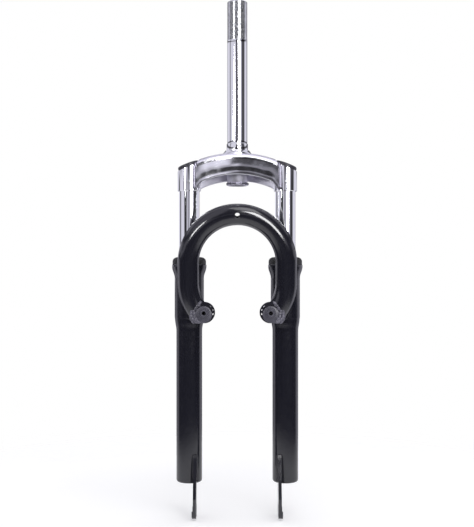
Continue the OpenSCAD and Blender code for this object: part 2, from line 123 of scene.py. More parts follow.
camera_data = bpy.data.cameras.new("photo_camera")
camera_data.angle = 2 * math.atan(PHOTO_H * MM_PER_PIXEL / 2 / CAMERA_DISTANCE)
camera = bpy.data.objects.new("photo_camera", camera_data)
bpy.context.scene.collection.objects.link(camera)
camera.location = (
    (PHOTO_W / 2 - FORK_CENTRE_PIXEL) * MM_PER_PIXEL * MM,
    (LEG_Y - CAMERA_DISTANCE) * MM,
    CAMERA_Z * MM,
)
camera.rotation_euler = (math.radians(90), 0, 0)
bpy.context.scene.camera = camera
print("vertical field of view:", round(math.degrees(camera_data.angle), 2), "degrees")

# %% [markdown]
# ## Helpers for colour and nodes
# A colour is written as the sRGB hex value that the eye sees and is turned to linear light
# once. One function adds a shader node with its settings, its input values and its links.


# %% Colour and node helpers
def linear(hex_colour):
    """Linear RGBA of an sRGB hex colour: c / 12.92 below 0.04045, else ((c + 0.055) / 1.055) ** 2.4."""
    srgb = np.array([int(hex_colour[i:i + 2], 16) / 255 for i in (1, 3, 5)])
    light = np.where(srgb <= 0.04045, srgb / 12.92, ((srgb + 0.055) / 1.055) ** 2.4)
    return (*light, 1.0)


def add(tree, kind, settings=None, values=None, links=None):
    """Adds a node: settings are its properties, values its constant inputs, links the outputs fed in."""
    node = tree.nodes.new(kind)
    for name, value in (settings or {}).items():
        setattr(node, name, value)
    for name, value in (values or {}).items():
        node.inputs[name].default_value = value
    for name, output in (links or {}).items():
        tree.links.new(output, node.inputs[name])
    return node


print("linear light of a middle grey, #808080:", round(linear("#808080")[0], 3))

# %% [markdown]
# ## Helpers for materials
# Most finishes here are one Principled shader with a little variation. Noise on Object
# coordinates stays fixed to the piece as it moves, and its scale is one over a real size.


# %% Material helpers
def new_material(name, **constants):
    """A material with one Principled shader, whose plain numbers are set on its own sockets."""
    material = bpy.data.materials.new(name)
    material.use_nodes = True
    shader = material.node_tree.nodes["Principled BSDF"]
    for socket, value in constants.items():
        shader.inputs[socket.replace("_", " ")].default_value = value
    return material, material.node_tree, shader


def speckle(tree, patch_mm, low, high, detail=3.0):
    """Noise on Object coordinates in patches of the given size, its middle range mapped to low..high."""
    place = add(tree, "ShaderNodeTexCoord")
    noise = add(tree, "ShaderNodeTexNoise", values={"Scale": 1 / (patch_mm * MM), "Detail": detail},
                links={"Vector": place.outputs["Object"]})
    span = add(tree, "ShaderNodeMapRange", values={"From Min": 0.3, "From Max": 0.7,
               "To Min": low, "To Max": high}, links={"Value": noise.outputs["Fac"]})
    return span.outputs["Result"]


def bump(tree, shader, patch_mm, height_mm, detail=2.0):
    """Adds a bump of the given height."""
    rise = add(tree, "ShaderNodeBump", values={"Strength": 1.0, "Distance": height_mm * MM},
               links={"Height": speckle(tree, patch_mm, 0.0, 1.0, detail)})
    tree.links.new(rise.outputs["Normal"], shader.inputs["Normal"])


def uneven(tree, shader, patch_mm, low, high):
    """Roughness that wanders from low to high."""
    tree.links.new(speckle(tree, patch_mm, low, high), shader.inputs["Roughness"])


def two_tones(tree, shader, tone_a, tone_b, patch_mm):
    """Base colour that wanders between two tones."""
    tint = add(tree, "ShaderNodeMix", settings={"data_type": "RGBA"},
               values={"A": linear(tone_a), "B": linear(tone_b)},
               links={"Factor": speckle(tree, patch_mm, 0.0, 1.0)})
    tree.links.new(tint.outputs["Result"], shader.inputs["Base Color"])


# %% [markdown]
# ## Helpers for surfaces
# Each new piece is a surface over two parameters. The grid of points is one numpy array, its
# quads are worked out as whole arrays, and foreach_set puts them into the mesh. Doubled points
# at seams and poles are merged, and then the faces are turned outwards.


# %% Grid to mesh
def quads(rows, columns, wrap_rows, wrap_columns):
    """Corner indices of a grid's quads, (i, j), (i, j+1), (i+1, j+1), (i+1, j), wrapped where asked."""
    i = np.arange(rows if wrap_rows else rows - 1)[:, None]
    j = np.arange(columns if wrap_columns else columns - 1)[None, :]
    i_next, j_next = (i + 1) % rows, (j + 1) % columns
    corners = (i * columns + j, i * columns + j_next, i_next * columns + j_next, i_next * columns + j)
    return np.stack([c + np.zeros_like(i + j) for c in corners], axis=-1).reshape(-1, 4)


def surface(name, grid_mm, wrap_rows=False, wrap_columns=False, sharp=35.0):
    """An object over a (rows, columns, 3) grid in millimetres, shaded smooth below the sharp angle."""
    rows, columns = grid_mm.shape[:2]
    faces = quads(rows, columns, wrap_rows, wrap_columns)
    mesh = bpy.data.meshes.new(name)
    mesh.vertices.add(rows * columns)
    mesh.vertices.foreach_set("co", (grid_mm * MM).astype(np.float32).ravel())
    mesh.loops.add(faces.size)
    mesh.loops.foreach_set("vertex_index", faces.astype(np.int32).ravel())
    mesh.polygons.add(len(faces))
    mesh.polygons.foreach_set("loop_start", np.arange(0, faces.size, 4, dtype=np.int32))
    mesh.update(calc_edges=True)
    tidy(mesh, sharp)
    piece = bpy.data.objects.new(name, mesh)
    bpy.context.scene.collection.objects.link(piece)
    return piece


def tidy(mesh, sharp):
    """Merges doubled points, turns the faces outwards and marks edges over the sharp angle."""
    work = bmesh.new()
    work.from_mesh(mesh)
    bmesh.ops.remove_doubles(work, verts=work.verts, dist=1e-6)
    bmesh.ops.recalc_face_normals(work, faces=work.faces)
    work.to_mesh(mesh)
    work.free()
    mesh.polygons.foreach_set("use_smooth", np.ones(len(mesh.polygons), dtype=bool))
    mesh.set_sharp_from_angle(angle=math.radians(sharp))


def turned(profile, turns=96, axis_xy=(0.0, 0.0)):
    """Surface of revolution: (r cos t, r sin t, z) for each profile point (r, z) and angle t."""
    t = np.linspace(0, 2 * np.pi, turns, endpoint=False)
    r, z = np.asarray(profile, float).T
    x = r[:, None] * np.cos(t) + axis_xy[0]
    y = r[:, None] * np.sin(t) + axis_xy[1]
    return np.stack([x, y, z[:, None] + 0 * t], axis=-1)


print("quads of a closed ring of 3 by 4 points:", len(quads(3, 4, False, True)))

# %% [markdown]
# ## Chrome, zinc and spring steel
# The bright parts are steel plated with decorative chromium: nearly colourless, a mirror, with
# a trace of polishing marks. Where the steel under it wasn't polished, the same plating is
# satin. A metal keeps the default IOR, so only its colour, roughness and bump are matched.


# %% Plated and bare metals
def chrome_plate():
    """Decorative chromium on polished steel: a cool mirror with faint polishing haze."""
    material, tree, shader = new_material("chromium_plated_steel", Metallic=1.0,
                                          Base_Color=linear("#EDEEF1"))
    uneven(tree, shader, 9, 0.03, 0.06)
    bump(tree, shader, 30, 0.002, 0.0)
    return material


def pressed_chrome():
    """Chromium on the pressed crown: a mirror over the slight waves that a press leaves in a sheet."""
    material, tree, shader = new_material("chromium_on_pressing", Metallic=1.0,
                                          Base_Color=linear("#E6E6EC"))
    uneven(tree, shader, 7, 0.07, 0.14)
    bump(tree, shader, 22, 0.22, 1.0)
    return material


def unpolished_chrome():
    """Chromium over the unpolished inside of a pressing: satin, with a lavender cast."""
    material, tree, shader = new_material("satin_chromium", Metallic=1.0, Base_Color=linear("#D2D0DC"))
    uneven(tree, shader, 6, 0.42, 0.6)
    bump(tree, shader, 3, 0.03)
    return material


def shaded_welded_chrome():
    """Thin chromium over the ground weld at the sleeves: dull, as it can't be polished, and darker, which
    is painted shade in the joints where it sits.
    """
    material, tree, shader = new_material("chromium_over_weld_painted_shade", Metallic=1.0, Base_Color=linear("#7E7C88"))
    uneven(tree, shader, 4, 0.28, 0.45)
    bump(tree, shader, 4, 0.08)
    return material


def cut_thread():
    """The cut thread under thin plating: a little duller than the polished tube."""
    material, tree, shader = new_material("plated_cut_thread", Metallic=1.0)
    uneven(tree, shader, 5, 0.10, 0.2)
    two_tones(tree, shader, "#CFD0D3", "#E9EAEC", 6)
    return material


def zinc_steel():
    """Bright zinc on turned steel: soft, slightly uneven grey."""
    material, tree, shader = new_material("zinc_plated_steel", Metallic=1.0, Base_Color=linear("#A9AAAE"))
    uneven(tree, shader, 3, 0.26, 0.42)
    bump(tree, shader, 1.2, 0.006)
    return material


def spring_steel():
    """Phosphated and oiled spring wire: dark grey with a soft sheen."""
    material, tree, shader = new_material("phosphated_spring_steel", Metallic=1.0,
                                          Base_Color=linear("#5A5B60"))
    uneven(tree, shader, 2, 0.34, 0.5)
    return material


CHROME, PRESSED, SATIN = chrome_plate(), pressed_chrome(), unpolished_chrome()
SHADED_WELD_CHROME, THREAD, ZINC, SPRING_STEEL = shaded_welded_chrome(), cut_thread(), zinc_steel(), spring_steel()
print("metals:", [m.name for m in (CHROME, PRESSED, SATIN, SHADED_WELD_CHROME, THREAD, ZINC, SPRING_STEEL)])

# %% [markdown]
# ## Enamel, plastic and rubber
# The lower legs and the arch are sprayed and baked with a black enamel, which shows a soft
# orange peel in its reflections. Over weld metal the same coat is thin and rough, so there it
# looks grey. The caps, seals and bushes are moulded, and their grain dulls them.


# %% Enamel, plastic, rubber and polymer
def black_enamel():
    """Baked black enamel: almost black with a blue cast, glossy, with a weak orange peel."""
    material, tree, shader = new_material("black_enamel", Base_Color=linear("#1E1E27"), IOR=1.6)
    uneven(tree, shader, 6, 0.10, 0.17)
    bump(tree, shader, 3.5, 0.008)
    return material


def weld_enamel():
    """The same enamel, thin and rough over weld metal, so it looks a dull lavender grey."""
    material, tree, shader = new_material("enamel_over_weld", IOR=1.45)
    two_tones(tree, shader, "#474651", "#706E7D", 5)
    uneven(tree, shader, 2, 0.35, 0.55)
    bump(tree, shader, 2.2, 0.12)
    return material


def boss_enamel():
    """Matt grey primer on the bosses' turned faces, where the gloss coat is thin."""
    material, tree, shader = new_material("primed_boss", IOR=1.45)
    two_tones(tree, shader, "#494855", "#555361", 7)
    uneven(tree, shader, 3, 0.38, 0.5)
    return material


def moulded_plastic():
    """Moulded polypropylene, charcoal. Its grain breaks the shine at the rim, so the IOR is low."""
    material, tree, shader = new_material("moulded_polypropylene", Base_Color=linear("#3A3942"), IOR=1.34)
    uneven(tree, shader, 2, 0.30, 0.42)
    bump(tree, shader, 0.8, 0.015)
    return material


def seal_rubber():
    """Nitrile rubber: dull black with a soft bloom."""
    material, tree, shader = new_material("nitrile_rubber", Base_Color=linear("#17171A"), IOR=1.5)
    uneven(tree, shader, 3, 0.42, 0.6)
    bump(tree, shader, 1.5, 0.01)
    return material


def bearing_polymer():
    """Acetal bush material: off-white and waxy."""
    material, tree, shader = new_material("acetal", Base_Color=linear("#DCD8CB"), IOR=1.48)
    uneven(tree, shader, 4, 0.32, 0.45)
    return material


ENAMEL, WELD, PRIMER = black_enamel(), weld_enamel(), boss_enamel()
PLASTIC, RUBBER, POLYMER = moulded_plastic(), seal_rubber(), bearing_polymer()
print("coats and mouldings:", [m.name for m in (ENAMEL, WELD, PRIMER, PLASTIC, RUBBER, POLYMER)])

# %% [markdown]
# ## Finishes of the solids
# A solid whose shape is right stays as it is and only gets its material, by its record slot.
# The brake studs have no finish of their own: they are primed over with the bosses.

# %% Dress the solids
FINISH_OF_SLOT = {"chrome": CHROME, "steel": ZINC, "black_paint": ENAMEL, "boss_paint": ENAMEL,
                  "cap_plastic": PLASTIC, "rubber": RUBBER, "bush_polymer": POLYMER}
slot_of = {part["node"]: part["material_slot"] for part in frame["record"]["subparts"]}
for node_name, node_object in frame["nodes"].items():
    primed = node_name.startswith("brake_stud")
    finish = PRIMER if primed else FINISH_OF_SLOT[slot_of[node_name]]
    for material_slot in node_object.material_slots:
        material_slot.material = finish
print("dressed", len(slot_of), "solids")

# %% [markdown]
# ## The steerer with its thread
# The steerer is a drawn steel tube. Its top 49 mm carry a 24 threads-per-inch thread, which in
# the photograph is the duller band. The outside is a surface over the angle and the height,
# whose radius drops by a triangle wave that climbs one pitch per turn, and by the keyway.


# %% Thread surface
THREAD_LOW, THREAD_HIGH = STEERER_TOP - THREAD_LEN, STEERER_TOP - 1.0
THREAD_FADE, ROWS_PER_PITCH, STEERER_COLUMNS = 0.5, 10, 80


def thread_radius(angle, z):
    """Outer radius: R less a triangle wave of (z / pitch - angle / 2 pi), faded at the thread's ends."""
    wave = np.abs((z / THREAD_PITCH - angle / (2 * np.pi)) % 1.0 - 0.5) * 2
    fade = np.clip((z - THREAD_LOW) / THREAD_FADE, 0, 1) * np.clip((THREAD_HIGH - z) / THREAD_FADE, 0, 1)
    radius = STEERER_R - THREAD_DEPTH * wave * fade
    across = STEERER_R * np.cos(angle)
    in_key = (np.abs(across) < KEYWAY_W / 2) & (np.sin(angle) > 0) & (z > THREAD_LOW)
    return np.where(in_key, np.minimum(radius, STEERER_R - KEYWAY_DEPTH), radius)


def threaded_band():
    """Grid of the threaded band: (r cos t, r sin t, z) with r from thread_radius."""
    rows = int(THREAD_LEN / THREAD_PITCH * ROWS_PER_PITCH)
    angle = np.linspace(0, 2 * np.pi, STEERER_COLUMNS, endpoint=False)[None, :]
    z = np.linspace(THREAD_LOW, THREAD_HIGH, rows)[:, None]
    r = thread_radius(angle, z + 0 * angle)
    return np.stack([r * np.cos(angle), r * np.sin(angle), z + 0 * angle], axis=-1)


def steerer_rest():
    """The polished tube: down the outside from the thread to the shoulder, and the bore with its top."""
    r, b = STEERER_R, STEERER_BORE_R
    lower = [(r, z) for z in np.linspace(THREAD_LOW, RACE_H + 0.4, 40)]
    seat = [(r + 0.2, RACE_H), (RACE_R - 0.5, RACE_H), (RACE_R, RACE_H - 0.5), (RACE_R, 0), (r, 0)]
    bore = [(b, 0), (b, STEERER_TOP), (r - 0.8, STEERER_TOP), (r, THREAD_HIGH)]
    return turned(lower + seat, STEERER_COLUMNS), turned(bore, STEERER_COLUMNS)


def steerer_foot():
    """The part below the shoulder, which sits in the crown and stays unpolished."""
    r, b, low = STEERER_R, STEERER_BORE_R, STEERER_FOOT
    return turned([(r, 0), (r, low + 0.6), (r - 0.6, low), (b, low), (b, 0)], STEERER_COLUMNS)


print("rows of the thread:", threaded_band().shape[0])

# %% [markdown]
# ## One steerer from its surfaces
# The band, the tube's outside, its bore and its foot share their edges. They become one mesh
# with a material slot each, and merging the doubled points closes it.


# %% Join band and tube
def joined(name, *objects, sharp=35.0):
    """Joins meshes into one object with their material slots kept, and tidies it."""
    work = bmesh.new()
    slots = []
    for piece in objects:
        start = len(work.faces)
        work.from_mesh(piece.data)
        work.faces.ensure_lookup_table()
        for face in work.faces[start:]:
            face.material_index = len(slots)
        slots.append(piece.data.materials[0])
    mesh = bpy.data.meshes.new(name)
    work.to_mesh(mesh)
    work.free()
    for material in slots:
        mesh.materials.append(material)
    tidy(mesh, sharp)
    for piece in objects:
        bpy.data.objects.remove(piece)
    whole = bpy.data.objects.new(name, mesh)
    bpy.context.scene.collection.objects.link(whole)
    return whole


def dressed(piece, material):
    """Gives a new piece its one material."""
    piece.data.materials.append(material)
    return piece


band = dressed(surface("band", threaded_band(), wrap_columns=True, sharp=80), THREAD)
skin, bore = (dressed(surface("tube", grid, wrap_columns=True), CHROME) for grid in steerer_rest())
foot = dressed(surface("foot", steerer_foot(), wrap_columns=True), SATIN)
steerer = joined("steerer_threaded", band, skin, bore, foot, sharp=70)
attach(steerer, "upper")
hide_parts("steerer_tube")
print("steerer faces:", len(steerer.data.polygons))

# %% [markdown]
# ## The pressed crown
# The crown is one sheet, pressed to an upside-down channel that arches from sleeve to sleeve.
# The same channel sections as in the construction are taken here on a finer grid, with the
# cut edges rounded as a press leaves them. The die draws the front wall in by half a
# millimetre and lets its lip flare, which gives the dark band over a bright edge.


# %% Crown sections
WALL_DRAFT, DRAFT_HEIGHT = 0.75, 11.0
LIP_FLARE, FLARE_HEIGHT = 0.24, 3.5


def ease(t):
    """Smooth step from 0 to 1: t squared times (3 - 2 t)."""
    return t * t * (3 - 2 * t)


def arc(centre, radius, start, end, steps):
    """Points (u, v) on a circle from one angle to another, in degrees."""
    a = np.radians(np.linspace(start, end, steps))
    return np.column_stack([centre[0] + radius * np.cos(a), centre[1] + radius * np.sin(a)])


def gusset(x, q):
    """How far a wall's edge at the arch's radius q turns down to the sleeve's end: its whole way times
    (hypot(s, e) - e) / (hypot(1, e) - e), where s runs from 0 to 1 along the gusset."""
    lip_end = LEG_X - math.sqrt(SLEEVE_R ** 2 - (CROWN_END_W / 2 - CROWN_WALL / 2) ** 2)
    whole = np.sqrt(q ** 2 - lip_end ** 2) - CROWN_R - COLLAR_H - SLEEVE_END - LIP_OVER_END
    s = np.clip(1 - (lip_end - np.abs(x)) / CROWN_GUSSET, 0, 1)
    return whole * (np.hypot(s, GUSSET_SOFT) - GUSSET_SOFT) / (math.hypot(1, GUSSET_SOFT) - GUSSET_SOFT)


def half_width(x):
    """Half the channel's width at x, which eases from the middle's to the ends'."""
    blend = ease(np.clip(np.abs(x) / LEG_X, 0, 1))
    return CROWN_MID_W / 2 + (CROWN_END_W - CROWN_MID_W) / 2 * blend


def middle_y(x):
    """The channel's middle line at x, which eases forward from the steerer to the legs."""
    return LEG_Y * ease(np.clip(np.abs(x) / LEG_X, 0, 1))


def channel_outline(w):
    """Closed outline (u, v, back share, front share) of the channel with the half width w: outside over
    the top, rounded lip, back along the inside. The shares say how much of the gusset's drop a point
    takes. At the height h over its lip the front wall is drawn in by draft (1 - ease(h / height)) less
    its flare (1 - h / flare height)^2."""
    c, t, lip = CROWN_CORNER, CROWN_WALL, CROWN_WALL / 2
    front, back = CROWN_R - CROWN_FRONT_H, CROWN_R - CROWN_BACK_H
    left, right = (-w + c, CROWN_R - c), (w - c, CROWN_R - c)
    runs = ((arc(left, c, 180, 90, 10), (0, 0)), (arc(right, c, 90, 0, 10), (0, 0)),
            (arc((w - lip, back + lip), lip, 0, -180, 8), (1, 0)),
            (arc(right, c - t, 0, 90, 8), (0, 0)), (arc(left, c - t, 90, 180, 8), (0, 0)),
            (arc((-w + lip + WALL_DRAFT - LIP_FLARE, front + lip), lip, 0, -180, 8), (0, 1)))
    outline = [np.hstack([run, np.tile(shares, (len(run), 1))]) for run, shares in runs]
    h = DRAFT_HEIGHT * np.linspace(0, 1, 11)[1:] ** 1.2
    draft = WALL_DRAFT * (1 - ease(h / DRAFT_HEIGHT))
    flare = LIP_FLARE * np.clip(1 - h / FLARE_HEIGHT, 0, 1) ** 2
    wall = np.column_stack([-w + draft - flare, front + lip + h, 0 * h, 1 - h / DRAFT_HEIGHT])
    return np.vstack([*outline, wall])


def crown_grid(columns=123):
    """Sections at x from sleeve to sleeve: y is the section's middle plus u, z lies on the arc of
    radius v, less the gusset's drop at the two lips."""
    x = np.linspace(-LEG_X - 1, LEG_X + 1, columns)
    outlines = np.stack([channel_outline(w) for w in half_width(x)])
    y = outlines[:, :, 0] + middle_y(x)[:, None]
    z = -(CROWN_R + COLLAR_H) + np.sqrt(outlines[:, :, 1] ** 2 - x[:, None] ** 2)
    for share, q in ((2, CROWN_R - CROWN_BACK_H), (3, CROWN_R - CROWN_FRONT_H)):
        z -= outlines[:, :, share] * gusset(x, q)[:, None]
    return np.stack([x[:, None] + 0 * y, y, z], axis=-1)


print("crown sections and points on each:", crown_grid().shape[:2])

# %% [markdown]
# ## Holes in the crown
# The steerer and the sleeves pass through round holes with sharp edges, which a grid can't
# follow. So they are cut by Boolean modifiers, which are applied at once. The faces inside the
# channel get the satin plating, found by where each face's centre lies.


# %% Cut the crown's holes
def capped(piece):
    """Closes the open ends of a swept tube with one face each."""
    work = bmesh.new()
    work.from_mesh(piece.data)
    bmesh.ops.holes_fill(work, edges=[e for e in work.edges if e.is_boundary], sides=0)
    bmesh.ops.recalc_face_normals(work, faces=work.faces)
    work.to_mesh(piece.data)
    work.free()
    return piece


def rod(name, radius, low, high, axis_xy, turns=128):
    """A closed cylinder on a vertical axis: a cutter, or a plug."""
    return surface(name, turned([(0, low), (radius, low), (radius, high), (0, high)], turns, axis_xy),
                   wrap_columns=True)


def apply_boolean(piece, tool, operation):
    """Applies one exact Boolean and removes the tool."""
    step = piece.modifiers.new(operation, "BOOLEAN")
    step.operation, step.object, step.solver = operation, tool, "EXACT"
    depsgraph = bpy.context.evaluated_depsgraph_get()
    mesh = bpy.data.meshes.new_from_object(piece.evaluated_get(depsgraph))
    piece.modifiers.clear()
    piece.data = mesh
    bpy.data.objects.remove(tool)


# The collar (r, z): from the sheet's underside it sweeps in to the tube below the race's shoulder.
collar_profile = [(0, -COLLAR_H - CROWN_WALL), (COLLAR_R + 3.5, -COLLAR_H - CROWN_WALL),
                  (COLLAR_R + 2.9, -COLLAR_H - 0.2), (COLLAR_R + 1.4, -COLLAR_H + 1.4),
                  (COLLAR_R + 0.5, -0.9), (COLLAR_R, 0), (0, 0)]
crown = capped(surface("crown_pressing", crown_grid(), wrap_columns=True))
apply_boolean(crown, surface("collar", turned(collar_profile, 128), wrap_columns=True), "UNION")
apply_boolean(crown, rod("steerer_hole", STEERER_R, -60, 10, (0, 0)), "DIFFERENCE")
for side in SIDES.values():
    apply_boolean(crown, rod("sleeve_hole", SLEEVE_R, -120, 60, (side * LEG_X, LEG_Y)), "DIFFERENCE")
crown.data.materials.clear()
dressed(crown, PRESSED)
dressed(crown, SATIN)
tidy(crown.data, 32)


def faces_inside_channel(mesh):
    """True where a face's centre is nearer than the sheet's middle to the channel's own middle."""
    centre = np.empty(len(mesh.polygons) * 3, dtype=np.float32)
    mesh.polygons.foreach_get("center", centre)
    x, y, z = centre.reshape(-1, 3).T / MM
    reach = np.hypot(x, z + CROWN_R + COLLAR_H)
    between_walls = np.abs(y - middle_y(x)) < half_width(x) - CROWN_WALL / 2
    return between_walls & (reach < CROWN_R - CROWN_WALL / 2)


crown.data.polygons.foreach_set("material_index", faces_inside_channel(crown.data).astype(np.int32))
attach(crown, "upper")
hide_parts("crown_shell")
print("crown faces:", len(crown.data.polygons))

# %% [markdown]
# ## Weld beads
# The steel pieces are joined by gas-shielded welding, which leaves a bead of overlapping
# ripples along each seam. A bead is a round profile carried along the seam's own curve, with
# its radius rising and falling every 1.7 mm. The seam's curve is worked out from the two
# shapes that meet there, so the bead lies in their corner.


# %% Carry a bead along a seam
def bead(name, path, outward, radius=1.9, closed=False, ripple=0.14, step=1.7, sides=12):
    """Tube along a path: centre + r (N cos t + B sin t), N outward, r rippled every step millimetres."""
    ahead = np.roll(path, -1, 0) - np.roll(path, 1, 0) if closed else np.gradient(path, axis=0)
    tangent = ahead / np.linalg.norm(ahead, axis=1, keepdims=True)
    normal = outward - tangent * np.sum(outward * tangent, axis=1, keepdims=True)
    normal /= np.linalg.norm(normal, axis=1, keepdims=True)
    across = np.cross(tangent, normal)
    walked = np.concatenate([[0], np.cumsum(np.linalg.norm(np.diff(path, axis=0), axis=1))])
    r = radius * (1 - ripple * np.abs(np.sin(np.pi * walked / step)))
    if not closed:
        r = r * np.sqrt(np.clip(np.minimum(walked, walked[-1] - walked) / radius, 0.02, 1))
    t = np.linspace(0, 2 * np.pi, sides, endpoint=False)
    round_part = (normal[:, None] * np.cos(t)[None, :, None] + across[:, None] * np.sin(t)[None, :, None])
    grid = path[:, None] + r[:, None, None] * round_part
    made = surface(name, grid, wrap_rows=closed, wrap_columns=True, sharp=60)
    return made if closed else capped(made)


def add_bead(name, path, outward, material, body, slot_name, **shape):
    """Makes a bead, dresses it and lets it ride."""
    made = dressed(bead(name, path, outward, **shape), material)
    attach(made, body)
    return made


def mirrored(points, side):
    """The same points on the other side for side -1."""
    return points * np.array([side, 1, 1])


print("material of the lumps and of the seams:", WELD.name, ENAMEL.name)

# %% [markdown]
# ## Welds of the arch
# The arch's limbs are coped and welded to the front of the legs' housings. A row of points
# round the limb's skin starts inside the housing and leaves it at the seam, so the first point
# outside, row by row, is the seam.


# %% Seams of the arch on the legs
ARCH_Y = LEG_Y - HOUSING_R - ARCH_TUBE_R + ARCH_SINK
ARCH_WELD_START = 6.0


def lean(local):
    """Arch coordinates (x, 0, height over the arch's centre) to the fork's, leaned forward about X."""
    x, y, z = np.moveaxis(np.asarray(local, float), -1, 0)
    z = z + ARCH_UP
    return np.stack([x, ARCH_Y + y * math.cos(ARCH_LEAN) - z * math.sin(ARCH_LEAN),
                     STUD_Z + y * math.sin(ARCH_LEAN) + z * math.cos(ARCH_LEAN)], axis=-1)


def arch_line(s):
    """Centre and inward direction of the left limb at s mm below the arch's spring line."""
    turn = np.clip((s - ARCH_STRAIGHT) / ARCH_R, 0, None)
    z = -np.minimum(s, ARCH_STRAIGHT) - ARCH_R * np.sin(turn)
    centre = np.stack([ARCH_R * np.cos(turn), 0 * s, z], axis=-1)
    inward = np.stack([-np.cos(turn), 0 * s, np.sin(turn)], axis=-1)
    return centre, inward


def arch_leg_seam(side_sign, rows=240):
    """Where the arch tube's skin meets the housing: for each s the angle at which the skin's
    distance from the leg's axis equals the housing's radius, on the outer or the inner side."""
    s = np.linspace(ARCH_WELD_START, ARCH_STRAIGHT + ARCH_R * ARCH_TURN, rows)
    centre, inward = arch_line(s)
    angle = np.radians(np.linspace(0, 170, 341))
    skin = (centre[:, None] - side_sign * inward[:, None] * (ARCH_TUBE_R * np.sin(angle))[None, :, None]
            + np.array([0, 1, 0]) * (ARCH_TUBE_R * np.cos(angle))[None, :, None])
    world = lean(skin)
    gap = np.hypot(world[..., 0] - LEG_X, world[..., 1] - LEG_Y) - HOUSING_R
    first_out = np.argmax(gap > 0, axis=1)
    crossing = np.nonzero((gap[:, 0] < 0) & (first_out > 0))[0]
    seam = world[crossing, first_out[crossing]]
    row_height = world[crossing, :, 2].mean(axis=1)
    leg_axis = np.stack([LEG_X + 0 * row_height, LEG_Y + 0 * row_height, row_height], axis=-1)
    return seam, (seam - leg_axis) + (seam - lean(centre)[crossing])


for side_name, side in SIDES.items():
    for edge, sign in (("outer", 1), ("inner", -1)):
        seam, outward = arch_leg_seam(sign)
        add_bead(f"arch_weld_{edge}_{side_name}", mirrored(seam, side), mirrored(outward, side),
                 ENAMEL, "lower", "black_paint", radius=1.5)
print("points of the last arch seam:", len(seam))

# %% [markdown]
# ## Welds of the bosses and dropouts
# The boss's round core stands on the housing's cylinder, so its seam is a circle seen from the
# front, with its depth on the cylinder. The dropout is a flat plate, so each of its faces
# meets the leg in a straight line.


# %% Seams of the bosses and dropouts
def boss_seam():
    """Where the boss's core meets the housing: y on the housing's cylinder over the core's circle."""
    a = np.radians(np.linspace(-78, 78, 90))
    x = STUD_X + BOSS_CORE_R * np.cos(a)
    z = STUD_Z + BOSS_CORE_R * np.sin(a)
    y = LEG_Y - np.sqrt(HOUSING_R ** 2 - (x - LEG_X) ** 2)
    return np.stack([x, y, z], -1), np.stack([np.cos(a), -0.8 + 0 * a, np.sin(a)], -1)


def dropout_seam(face_x):
    """Up the front of the leg where a face of the dropout plate meets it."""
    z = np.linspace(LEG_END + 4, WELD_TOP, 60)
    y = LEG_Y - math.sqrt(LEG_R ** 2 - (face_x - LEG_X) ** 2)
    path = np.stack([face_x + 0 * z, y + 0 * z, z], -1)
    sign = -1 if face_x < DROPOUT_X + DROPOUT_T / 2 else 1
    return path, np.array([sign, -0.7, 0]) + 0 * path


for side_name, side in SIDES.items():
    seam, outward = boss_seam()
    add_bead(f"boss_weld_{side_name}", mirrored(seam, side), mirrored(outward, side),
             WELD, "lower", "boss_paint", radius=2.6)
    for face, face_x in (("inner", DROPOUT_X), ("outer", DROPOUT_X + DROPOUT_T)):
        seam, outward = dropout_seam(face_x)
        add_bead(f"dropout_weld_{face}_{side_name}", mirrored(seam, side), mirrored(outward, side),
                 ENAMEL, "lower", "black_paint", radius=1.6)
print("points of the last dropout seam:", len(seam))

# %% [markdown]
# ## Brake bosses
# Each boss has a low turned seat for the brake's spring, a little off the stud's axis. Round
# the boss the weld is built up in short heavy runs, which show as grey lumps through the thin
# paint. Each run is an arc round the stud that wanders a little, as a hand-held torch does.


# %% Brake bosses: turned seat and the lumps of weld beside it
SEAT_R, SEAT_H, SEAT_OUT, SEAT_DOWN = 10.3, 0.9, 0.8, 2.5


def boss_seat(side):
    """A low turned disc on the boss's plate, (rho, height) with a rounded edge, facing the front."""
    edge = [(SEAT_R - 0.8, SEAT_H), (SEAT_R - 0.3, 0.65), (SEAT_R, 0.2), (SEAT_R, -0.2)]
    x, y, z = np.moveaxis(turned([(0, SEAT_H), *edge, (0, -0.2)], 72), -1, 0)
    return np.stack([side * (STUD_X + SEAT_OUT) + x, BOSS_Y - z, STUD_Z - SEAT_DOWN + y], axis=-1)


def weld_run(rho, start, end, depth, rows=70):
    """An arc round the brake stud from start to end degrees, depth behind the plate. Its radius at
    the angle a is rho + 0.5 sin(5.3 a + rho) + 0.3 sin(11.7 a)."""
    a = np.radians(np.linspace(start, end, rows))
    wander = 0.5 * np.sin(5.3 * a + rho) + 0.3 * np.sin(11.7 * a)
    x, z = STUD_X + (rho + wander) * np.cos(a), STUD_Z + (rho + wander) * np.sin(a)
    return (np.stack([x, BOSS_Y + depth + 0 * a, z], -1),
            np.stack([np.cos(a), -1.5 + 0 * a, np.sin(a)], -1))


# Each run: radius, start and end in degrees, depth behind the plate and the bead's radius.
WELD_RUNS = ((12.6, -72, 78, 0.3, 2.6), (15.4, -58, 44, 1.0, 2.3), (10.6, 14, 66, -0.2, 1.7),
             (17.6, -50, -8, 2.6, 2.0))
for side_name, side in SIDES.items():
    seat = dressed(surface(f"boss_seat_{side_name}", boss_seat(side), wrap_columns=True), PRIMER)
    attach(seat, "lower")
    for count, (rho, start, end, depth, thick) in enumerate(WELD_RUNS):
        path, outward = weld_run(rho, start, end, depth)
        add_bead(f"boss_lump_{count}_{side_name}", mirrored(path, side), mirrored(outward, side), WELD,
                 "lower", "boss_paint", radius=thick, ripple=0.24, step=3.7, sides=16)
print("weld runs round each boss:", len(WELD_RUNS))

# %% [markdown]
# ## Welds of the crown
# The crown's ends are welded to the sleeves and ground to a fillet before plating. The steerer
# is welded under the crown's top, and a lumpy ring closes its foot. A ring is a bead along a
# circle, closed on itself.


